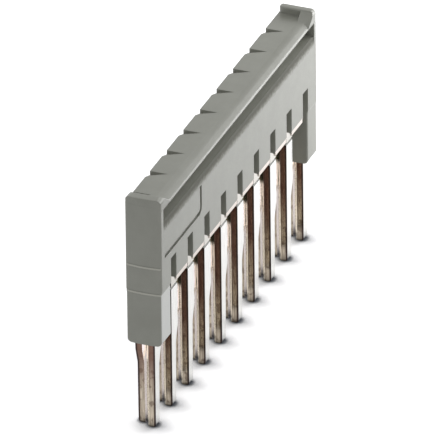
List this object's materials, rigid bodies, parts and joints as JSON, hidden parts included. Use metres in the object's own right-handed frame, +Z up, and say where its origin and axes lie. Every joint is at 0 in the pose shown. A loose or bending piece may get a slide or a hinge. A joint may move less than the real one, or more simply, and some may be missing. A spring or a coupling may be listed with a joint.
{
  "type": "terminal block jumper",
  "caption": "Plug-in jumper that bridges neighbouring rail-mounted terminal blocks: a thin grey moulded housing over a row of forked contact pins.",
  "frame": {"origin": "midway along the row of pins, midway through the thickness, on the plane of the pin tips", "axes": "+X along the row of pins, +Y through the thickness towards the plain long side, +Z up from the pin tips to the housing"},
  "size_m": [0.0332, 0.003, 0.0201],
  "materials": {
    "housing_plastic": "fine moulded, satin",
    "contact_metal": "tin-plated copper strip, stamped"
  },
  "bodies": {
    "root": {"housing": "housing_plastic", "front_comb": "contact_metal", "back_comb": "contact_metal"}
  },
  "joints": []
}
